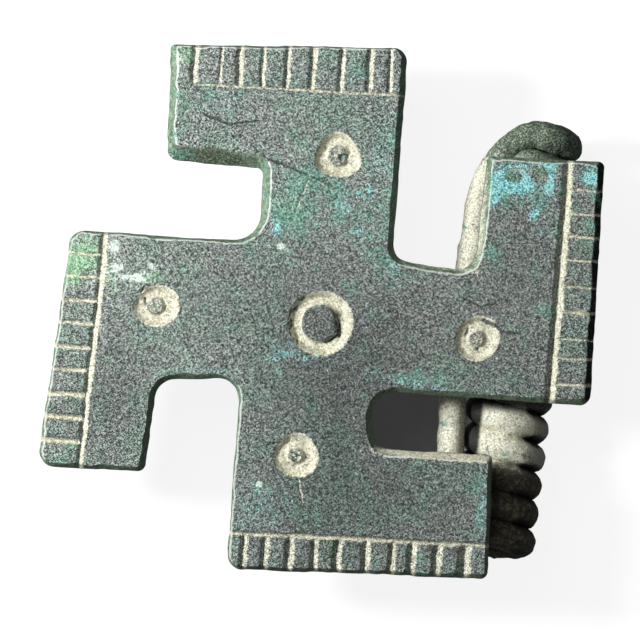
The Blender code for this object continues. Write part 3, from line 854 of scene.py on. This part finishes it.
def arc(x, y, radius, first_degrees, last_degrees, steps):
    """Points of an arc in a section."""
    angles = np.radians(np.linspace(first_degrees, last_degrees, steps + 1))
    return [(x + radius * math.cos(angle), y + radius * math.sin(angle)) for angle in angles]


def lug_tool():
    half = ROD_RADIUS + RUNNING_GAP + LUG_WALL
    top = PLATE_BACK + ROOT_DEPTH - AXIS_HEIGHT
    section = [
        (half + LUG_FLARE, top),
        (-half - LUG_FLARE, top),
        (-half, LUG_SHOULDER),
        *arc(0, 0, half, 180, 360, 24),
        (half, LUG_SHOULDER),
    ]
    return prism("lug_form", section, near_spring, LUG_THICKNESS / 2, 0.16)


def rod_hole_tool():
    section = arc(0, 0, ROD_RADIUS + RUNNING_GAP, 0, 351, 39)
    return prism("rod_hole_form", section, near_spring, LUG_THICKNESS, 0)


def catch_middle():
    return np.array(tuple(arm_point("left", CATCH_PLACE * REACH, 0))) + np.array((0, CATCH_SHIFT))


def catch_tool():
    gutter = GUTTER_WIDTH / 2
    lip_out = gutter + LIP_THICKNESS
    flange_out = gutter + FLANGE_THICKNESS
    top = PLATE_BACK + ROOT_DEPTH
    flare_foot = top - CATCH_FLARE_HEIGHT
    rounding = CATCH_ROUNDING
    section = [
        (-flange_out - CATCH_FLARE, top),
        (-flange_out, flare_foot),
        *arc(-flange_out + rounding, rounding, rounding, 180, 270, 8),
        *arc(lip_out - rounding, rounding, rounding, 270, 360, 8),
        (lip_out, LIP_HEIGHT),
        (gutter, LIP_HEIGHT),
        *arc(0, GUTTER_FLOOR + gutter, gutter, 0, -180, 16),
        (-gutter, flare_foot),
        (-gutter + CATCH_FLARE, top),
    ]
    x, y = catch_middle()

    def place(across, along, height):
        return np.array((x + along, y + across, height))

    return prism("catch_form", section, place, CATCH_LENGTH / 2, 0.12)


def apply_modifiers(obj):
    bpy.context.view_layer.update()
    graph = bpy.context.evaluated_depsgraph_get()
    mesh = bpy.data.meshes.new_from_object(obj.evaluated_get(graph))
    obj.modifiers.clear()
    obj.data = mesh


def set_mask(obj, name, values):
    attribute = obj.data.attributes.new(name, "FLOAT", "POINT")
    attribute.data.foreach_set("value", np.asarray(values, np.float32))


def point_array(obj):
    """The mesh's points in millimetres about the centre ring."""
    co = np.zeros(len(obj.data.vertices) * 3, np.float32)
    obj.data.vertices.foreach_get("co", co)
    return co.reshape(-1, 3).astype(float) / MM - SHIFT


def patch_mask(plan, patches):
    total = np.zeros(len(plan))
    for *oval, strength in patches:
        total += strength * np.exp(-spot_reach(plan, *oval) / 1.4)
    return np.clip(total, 0, 1)


def shade(obj, material, sharp_degrees):
    obj.data.materials.clear()
    obj.data.materials.append(material)
    obj.data.shade_smooth()
    obj.data.set_sharp_from_angle(angle=math.radians(sharp_degrees))


def make_plate(material):
    points, faces, rim = plate_mesh()
    plate = add_mesh("plate_cast", points, faces)
    tools = [(lug_tool(), "UNION"), (catch_tool(), "UNION"), (rod_hole_tool(), "DIFFERENCE")]
    for tool, operation in tools:
        boolean = plate.modifiers.new(tool.name, "BOOLEAN")
        boolean.object = tool
        boolean.operation = operation
        boolean.solver = "MANIFOLD"
    apply_modifiers(plate)
    for tool, _ in tools:
        bpy.data.objects.remove(tool)
    points = point_array(plate)
    plan = points[:, :2]
    on_front = smooth((points[:, 2] - PLATE_FRONT + SLANT_DROP + 0.45) / 0.3)
    _, filling, _ = ornament(plan)
    past_rim, facing = reach_past(rim, plan)
    near_rim = np.exp(-((distances(tree_of(rim), plan) / RIM_WIDTH) ** 2))
    faces_light = smooth(facing @ np.array(HIGHLIGHT_WAY) + 0.25)
    set_mask(plate, "crack", np.clip(-filling, 0, 1) * on_front)
    # Pale deposit; the strips on notch edges facing the key light are partly painted highlight
    filling = np.maximum(filling, patch_mask(plan, DEPOSITS_AND_HIGHLIGHTS))
    set_mask(plate, "filling", filling * on_front)
    # The bright line runs round the whole front edge as wear, and is painted brighter where the edge
    # faces the key light: painted highlight
    set_mask(plate, "rim", near_rim * (0.25 + 0.75 * faces_light) * on_front)
    on_slant = smooth(past_rim / EDGE_FADE)
    set_mask(plate, "slant", on_slant * on_front)
    # Slants turned away from the key light get near-black painted shade, stronger at the far right
    turned_from_light = rise(facing @ np.array(SHADED_WAY), 0.35, 0.5)
    outermost = rise(plan[:, 0], 12, 2)
    set_mask(plate, "painted_shade_side", (0.4 + 0.5 * outermost) * on_slant * turned_from_light)
    set_mask(plate, "side", 1 - on_front)
    for name, patches in PATCHES.items():
        inside = 1 - 0.9 * on_slant if name == "turquoise" else 1
        set_mask(plate, name, patch_mask(plan, patches) * on_front * inside)
    shade(plate, material, 50)
    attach(plate, "root")
    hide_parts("plate")


def wire(name, points, radii, sides, material, seed):
    """A round wire with a corroded skin and rounded ends."""
    ends = []
    for end, way in ((0, points[0] - points[1]), (-1, points[-1] - points[-2])):
        way = way / np.linalg.norm(way)
        angles = np.radians((30, 55, 75, 88))
        ends.append(
            (
                points[end] + np.multiply.outer(np.sin(angles) * radii[end] * 0.7, way),
                radii[end] * np.cos(angles),
            )
        )
    points = np.vstack((ends[0][0][::-1], points, ends[1][0]))
    radii = np.concatenate((ends[0][1][::-1], radii, ends[1][1]))
    ways = np.gradient(points, axis=0)
    ways /= np.linalg.norm(ways, axis=1)[:, None]
    side = np.cross(ways[0], (0.3, 0.2, 0.9))
    rings = []
    angles = np.arange(sides) * 2 * math.pi / sides
    for point, way, radius in zip(points, ways, radii):
        side = side - way * side.dot(way)
        side /= np.linalg.norm(side)
        outward = np.outer(np.cos(angles), side) + np.outer(np.sin(angles), np.cross(way, side))
        ring = point + outward * radius
        skin = 0.07 * lumps(ring, 0.75, seed) + 0.05 * lumps(ring, 0.3, seed + 1)
        rings.append(ring + outward * (skin - 0.01)[:, None] * min(1, radius / 0.5))
    body = np.vstack(rings)
    body[:, 2] = np.maximum(body[:, 2], 0.01)
    faces = wall_faces(len(rings), sides)
    faces.append(tuple(range(sides))[::-1])
    last = (len(rings) - 1) * sides
    faces.append(tuple(range(last, last + sides)))
    obj = add_mesh(name, body, faces)
    shade(obj, material, 60)
    return obj


def bend(start, start_pull, end, end_pull, count):
    t = np.linspace(0, 1, count)[:, None]
    s = 1 - t
    return (
        start * s**3
        + (start + start_pull) * (3 * s * s * t)
        + (end - end_pull) * (3 * s * t * t)
        + end * t**3
    )


def make_spring(material):
    """The fixed wire: round the top end, down the chord, round the low end and up the coil."""
    start = on_coil(SIDE_FRONT, SPRING_ABOVE)
    chord_along = np.linspace(SPRING_ABOVE - CHORD_TOP_BEND, CHORD_BEND - SPRING_BELOW, CHORD_POINTS)
    chord_places, chord_sides = zip(*CHORD_BOW)
    chord_side = np.interp(chord_along, chord_places[::-1], chord_sides[::-1])
    soft = np.ones(CHORD_SOFTENING) / CHORD_SOFTENING
    chord_side = np.convolve(np.pad(chord_side, CHORD_SOFTENING // 2, "edge"), soft, "valid")
    chord = near_spring(chord_side, chord_along, np.full(CHORD_POINTS, CHORD_HEIGHT))
    chord_top, chord_low, chord = chord[0], chord[-1], chord[1:-1]
    top_bend = bend(start, 0.1 * ALONG - 1.9 * ACROSS, chord_top, -BEND_PULL * ALONG, 64)
    coil_start = on_coil(SIDE_BACK, -SPRING_BELOW)
    low_bend = bend(chord_low, -BEND_PULL * ALONG, coil_start, BEND_PULL * ACROSS, 48)
    coil = helix(LOWER_TURNS, -SPRING_BELOW, -LOOP_PLACE)[1:]
    points = np.vstack((top_bend, chord, low_bend, coil))
    radii = np.full(len(points), WIRE_RADIUS + CHORD_CRUST)
    radii[-len(coil) :] = WIRE_RADIUS + COIL_CRUST
    spring = wire("spring_wire", points, radii, WIRE_SIDES, material, 21)
    mask_wire(spring)
    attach(spring, "root")
    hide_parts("spring")


def make_pin(material):
    """The pin and the upper coil that it springs from, one wire, from its tip to the top turn."""
    root = on_coil(SIDE_BACK, LOOP_PLACE)
    x, y = catch_middle()
    beside = GUTTER_WIDTH / 2 + LIP_THICKNESS + RUNNING_GAP + PIN_AT_CATCH / 2
    at_catch = np.array((x, y + beside, GUTTER_FLOOR + PIN_AT_CATCH / 2))
    way = (at_catch - root) / np.linalg.norm(at_catch - root)
    tip = at_catch + way * (CATCH_LENGTH / 2 + PIN_PAST_CATCH)
    shaft = np.linalg.norm(tip - root)
    from_tip = shaft * np.linspace(0, 1, 170)[:-1] ** 1.1
    point_share = np.sin(math.pi / 2 * np.clip(from_tip / PIN_POINT_LENGTH, 0, 1))
    shaft_share = np.clip((from_tip - PIN_POINT_LENGTH) / (shaft - PIN_POINT_LENGTH), 0, 1)
    radii = PIN_TIP / 2 + (PIN_AT_CATCH - PIN_TIP) / 2 * point_share
    radii = radii + (WIRE_RADIUS - PIN_AT_CATCH / 2) * shaft_share
    coil = helix(UPPER_TURNS, LOOP_PLACE, SPRING_ABOVE)
    points = np.vstack((tip - np.multiply.outer(from_tip, way), coil))
    radii = np.concatenate((radii, WIRE_RADIUS + COIL_CRUST * smooth(np.arange(len(coil)) / 60)))
    pin = wire("pin_wire", points, radii, WIRE_SIDES, material, 31)
    mask_wire(pin)
    top = (near_spring(0, SPRING_ABOVE - 0.3, 0) + SHIFT) * MM
    low = (near_spring(0, LOOP_PLACE + 0.9, 0) + SHIFT) * MM
    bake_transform(pin)
    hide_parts("pin")


def mask_wire(obj):
    """Marks the wire's green end, its brown end of painted shade, and the painted shade that darkens
    the coil.

    That is on its left flank, in the grooves of its right side and under the right arm.
    """
    points = point_array(obj)
    along = (points - FOOT) @ ALONG
    across = (points - FOOT) @ ACROSS
    above = points[:, 2] - AXIS_HEIGHT
    set_mask(obj, "green_end", rise(along, *GREEN_END))
    # The low end of the coil is painted dark brown: painted shade where the bottom hook's shadow
    # falls
    set_mask(obj, "brown_shade_end", fall(along, *BROWN_SHADE_END))
    normals = np.zeros(len(points) * 3, np.float32)
    obj.data.vertex_normals.foreach_get("vector", normals)
    groove = rise(np.abs(normals.reshape(-1, 3) @ ALONG), 0.45, 0.45)
    on_left = fall(across, -1.4, 0.5) * rise(above, -0.5, 0.2)
    on_right = rise(across, 0.3, 1.3) * (0.4 + 0.6 * groove)
    arm_shade = 0.72 * rise(along, *ARM_SHADE)
    is_coil = fall(np.hypot(across, above), 3.0, 0.1) * fall(along, 10.5, 1.0)
    set_mask(obj, "painted_coil_shade", np.maximum.reduce((on_left, on_right, arm_shade)) * is_coil)


class Shader:
    """Short names for the nodes of one material."""

    def __init__(self, name):
        self.material = bpy.data.materials.new(name)
        self.material.use_nodes = True
        self.tree = self.material.node_tree
        self.surface = self.tree.nodes["Principled BSDF"]
        self.place = self.new("TexCoord").outputs["Object"]

    def new(self, kind):
        return self.tree.nodes.new("ShaderNode" + kind)

    def put(self, node, values):
        """Links or sets a node's sockets, which are named or numbered."""
        for socket, value in values.items():
            if isinstance(value, bpy.types.NodeSocket):
                self.tree.links.new(value, node.inputs[socket])
            else:
                node.inputs[socket].default_value = value

    def noise(self, size_mm, detail=2.0, roughness=0.5, distortion=0.0, stretch=1.0, degrees=0.0):
        """Noise of about one size of grain, which can be drawn out one way in plan."""
        drawn_out = self.new("Mapping")
        drawn_out.vector_type = "TEXTURE"
        turn = (0, 0, math.radians(degrees))
        self.put(drawn_out, {"Vector": self.place, "Rotation": turn, "Scale": (stretch, 1, 1)})
        node = self.new("TexNoise")
        self.put(node, {"Vector": drawn_out.outputs["Vector"], "Scale": 1 / (size_mm * MM)})
        self.put(node, {"Detail": detail, "Roughness": roughness, "Distortion": distortion})
        return node.outputs["Fac"]

    def mask(self, name):
        node = self.new("Attribute")
        node.attribute_name = name
        return node.outputs["Fac"]

    def sum(self, value_a, value_b, operation="ADD"):
        node = self.new("Math")
        node.operation = operation
        self.put(node, {0: value_a, 1: value_b})
        return node.outputs[0]

    def span(self, value, low, high, out_low=0.0, out_high=1.0):
        node = self.new("MapRange")
        node.interpolation_type = "SMOOTHSTEP"
        self.put(node, {"Value": value, "From Min": low, "From Max": high})
        self.put(node, {"To Min": out_low, "To Max": out_high})
        return node.outputs["Result"]

    def ramp(self, value, stops):
        node = self.new("ValToRGB")
        self.put(node, {"Fac": value})
        elements = node.color_ramp.elements
        while len(elements) < len(stops):
            elements.new(1.0)
        for element, (position, *colour) in zip(elements, stops):
            element.position = position
            element.color = (*colour, 1)
        return node.outputs["Color"]

    def mix(self, factor, colour_a, colour_b, blend_type="MIX"):
        node = self.new("Mix")
        node.data_type = "RGBA"
        node.blend_type = blend_type
        self.put(node, {0: factor})
        for socket, colour in ((6, colour_a), (7, colour_b)):
            is_socket = isinstance(colour, bpy.types.NodeSocket)
            self.put(node, {socket: colour if is_socket else (*colour, 1)})
        return node.outputs[2]

    def broken(self, mask_name, noise, low, high, noise_share):
        """A soft mask broken up by noise."""
        swing = self.sum(self.sum(noise, 0.5, "SUBTRACT"), noise_share * 2, "MULTIPLY")
        return self.span(self.sum(self.mask(mask_name), swing), low, high)

    def bump(self, height, distance_mm, strength, normal=None):
        node = self.new("Bump")
        self.put(node, {"Height": height, "Distance": distance_mm * MM, "Strength": strength})
        if normal:
            self.put(node, {"Normal": normal})
        return node.outputs["Normal"]

    def finish(self, colour, roughness, normal):
        self.put(self.surface, {"Base Color": colour, "Roughness": roughness, "Normal": normal})
        return self.material


def patina_material():
    """Dark grey-green patina with a fine hairy grain, coloured patches and pale filling."""
    shader = Shader("green_patina")
    hairs_one_way = shader.noise(0.064, 1.5, 0.6, 0.9, 2.8, 35)
    hairs_other_way = shader.noise(0.064, 1.5, 0.6, 0.9, 2.8, -50)
    hairs = shader.sum(hairs_one_way, hairs_other_way, "MAXIMUM")
    grains = shader.noise(0.10, 3, 0.62, 1.6)
    grain = shader.sum(shader.sum(hairs, 0.9, "MULTIPLY"), shader.sum(grains, 0.6, "MULTIPLY"))
    grain = shader.sum(grain, 0.28, "SUBTRACT")
    speck = shader.noise(0.30, 3, 0.6, 1.2)
    mottle = shader.noise(1.1, 4, 0.6)
    broad = shader.noise(5.0, 3, 0.5)
    streak = shader.noise(0.17, 4, 0.7, 1.2)
    drift = shader.sum(shader.sum(streak, mottle), 0.5, "MULTIPLY")
    grit = shader.sum(shader.sum(grain, 0.5, "MULTIPLY"), shader.sum(streak, 0.5, "MULTIPLY"))

    colour = shader.ramp(grain, TONES["plate"])
    green_share = shader.span(shader.sum(mottle, broad), 0.85, 1.2)
    colour = shader.mix(green_share, colour, (0.84, 1.05, 0.95), "MULTIPLY")
    colour = shader.mix(shader.span(speck, 0.60, 0.72), colour, (0.33, 0.38, 0.35))
    colour = shader.mix(shader.span(speck, 0.40, 0.28), colour, (0.050, 0.055, 0.052))
    # Painted shade: darker towards the middle, the bottom and the right
    colour = shader.mix(shader.mask("falloff_shade"), colour, (0.49, 0.48, 0.49), "MULTIPLY")
    colour = shader.mix(shader.mask("slant"), colour, shader.ramp(speck, TONES["slant"]))
    # Pale worn line on the front's edge, partly painted highlight on the edges that face the key
    # light
    rim = shader.broken("rim", speck, 0.38, 0.72, 0.8)
    colour = shader.mix(rim, colour, (0.66, 0.72, 0.64))
    # Dark stains; the band on the slant under the top hook is painted shade
    dark = shader.broken("dark", mottle, 0.4, 0.8, 0.9)
    colour = shader.mix(dark, colour, shader.ramp(grain, TONES["dark"]))
    # Near-black painted shade on the slants turned away from the key light
    painted_shade_side = shader.broken("painted_shade_side", speck, 0.3, 0.8, 0.5)
    colour = shader.mix(painted_shade_side, colour, (0.016, 0.021, 0.017))
    for name, noise, low, high, noise_share in (
        ("teal", drift, 0.46, 0.86, 3.0),
        ("green", streak, 0.40, 0.72, 1.7),
        ("turquoise", streak, 0.40, 0.74, 1.6),
        ("mint", streak, 0.40, 0.62, 1.5),
    ):
        patch = shader.broken(name, noise, low, high, noise_share)
        colour = shader.mix(patch, colour, shader.ramp(grain, TONES[name]))
    colour = shader.mix(shader.mask("side"), colour, shader.ramp(mottle, TONES["side"]))
    filling = shader.broken("filling", grit, 0.30, 0.72, 1.3)
    colour = shader.mix(filling, colour, shader.ramp(grit, TONES["filling"]))
    colour = shader.mix(shader.mask("crack"), colour, (0.012, 0.016, 0.012))

    rough = shader.span(grain, 0.35, 0.65, 0.70, 0.46)
    rough = shader.sum(rough, shader.sum(rim, 0.14, "MULTIPLY"), "SUBTRACT")
    shader.put(shader.surface, {"Specular IOR Level": shader.span(painted_shade_side, 0, 1, 0.5, 0.1)})
    return shader.finish(colour, rough, shader.bump(speck, 0.06, 0.5, shader.bump(grain, 0.05, 0.8)))


def wire_material(name, pale_low):
    """Bronze wire under a pale green and cream deposit."""
    shader = Shader(name)
    grain = shader.noise(0.11, 3, 0.6, 0.6)
    speck = shader.noise(0.30, 3, 0.6, 0.6)
    mottle = shader.noise(1.3, 3, 0.55)
    height = shader.sum(mottle, shader.sum(speck, 0.6, "MULTIPLY"))
    pale = shader.span(height, pale_low, pale_low + 0.16)
    colour = shader.ramp(speck, TONES["bronze"])
    colour = shader.mix(pale, colour, shader.ramp(grain, TONES["cream"]))
    teal = shader.span(shader.noise(0.8, 4, 0.65), 0.58, 0.68)
    colour = shader.mix(teal, colour, (0.16, 0.34, 0.27))
    green_end = shader.broken("green_end", speck, 0.4, 0.8, 0.5)
    colour = shader.mix(green_end, colour, shader.ramp(grain, TONES["verdigris"]))
    # Dark brown painted shade on the coil's low end
    brown_shade_end = shader.broken("brown_shade_end", speck, 0.4, 0.8, 0.5)
    colour = shader.mix(brown_shade_end, colour, shader.ramp(speck, TONES["brown"]))
    # Near-black painted shade on the coil's left flank, right-side grooves and the stretch under the
    # right arm
    painted_coil_shade = shader.broken("painted_coil_shade", grain, 0.25, 0.85, 0.6)
    colour = shader.mix(painted_coil_shade, colour, (0.014, 0.014, 0.011))
    normal = shader.bump(speck, 0.10, 0.6, shader.bump(grain, 0.05, 0.7))
    return shader.finish(colour, shader.span(grain, 0.35, 0.65, 0.8, 0.55), normal)


def rod_material():
    shader = Shader("rod_bronze")
    grain = shader.noise(0.2, 3, 0.6)
    rough = shader.span(grain, 0.35, 0.65, 0.8, 0.5)
    return shader.finish(shader.ramp(grain, TONES["rod"]), rough, shader.bump(grain, 0.05, 0.7))


def make_floor():
    """A pale floor that glows, but for the soft shade under the closed slot."""
    bm = bmesh.new()
    bmesh.ops.create_grid(bm, x_segments=1, y_segments=1, size=FLOOR_HALF)
    mesh = bpy.data.meshes.new("floor")
    bm.to_mesh(mesh)
    bm.free()
    shader = Shader("pale_floor")
    gap = shader.new("VectorMath")
    gap.operation = "DISTANCE"
    shade_middle = tuple((SHIFT + np.array((*SHADE_PLACE, 0))) * MM)
    shader.put(gap, {0: shader.place, 1: shade_middle})
    inner, outer = SHADE_INNER * MM, SHADE_OUTER * MM
    glow = shader.span(gap.outputs["Value"], inner, outer, SHADE_GLOW, FLOOR_GLOW)
    shader.put(shader.surface, {"Base Color": FLOOR_COLOUR, "Roughness": 1})
    shader.put(shader.surface, {"Specular IOR Level": 0, "Emission Color": (1, 1, 1, 1)})
    shader.put(shader.surface, {"Emission Strength": glow})
    mesh.materials.append(shader.material)
    floor = add_object("floor", mesh)
    floor.visible_diffuse = False
    floor.visible_glossy = False
    floor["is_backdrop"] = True


def make_camera():
    """Looks straight down, turned a little against the brooch, as in the photograph."""
    camera = add_object("camera", bpy.data.cameras.new("camera"))
    camera.data.lens = VIEW_LENS
    camera.data.sensor_width = VIEW_SENSOR
    camera.data.clip_start = 0.01
    camera.location = (SHIFT + np.array((*VIEW_PLACE, PLATE_FRONT + VIEW_DISTANCE))) * MM
    camera.rotation_euler = (0, 0, math.radians(VIEW_TURN))
    bpy.context.scene.camera = camera


def add_light(name, azimuth, elevation, distance, size, power):
    """A round lamp that faces the brooch."""
    light = bpy.data.lights.new(name, "AREA")
    light.shape = "DISK"
    light.size = size
    light.energy = power
    obj = add_object(name, light)
    azimuth, elevation = math.radians(azimuth), math.radians(elevation)
    flat_reach = distance * math.cos(elevation)
    height = distance * math.sin(elevation)
    obj.location = (flat_reach * math.cos(azimuth), flat_reach * math.sin(azimuth), height)
    obj.rotation_euler = (-Vector(obj.location)).to_track_quat("-Z", "Y").to_euler()


def make_lights():
    for name, settings in LIGHTS.items():
        add_light(name, *settings)
    world = bpy.data.worlds.new("studio")
    world.use_nodes = True
    background = world.node_tree.nodes["Background"]
    background.inputs["Color"].default_value = SKY_COLOUR
    background.inputs["Strength"].default_value = SKY_STRENGTH
    bpy.context.scene.world = world


bpy.context.scene.view_settings.view_transform = "Standard"
make_camera()
make_lights()
make_floor()
make_plate(patina_material())
make_spring(wire_material("spring_wire", 0.50))
make_pin(wire_material("pin_wire", 0.66))
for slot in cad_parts["spring_axis"].material_slots:
    slot.material = rod_material()

boxes = {"cad": cad_box, "visual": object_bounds()}
{name: [list(corner) for corner in box] for name, box in boxes.items()}
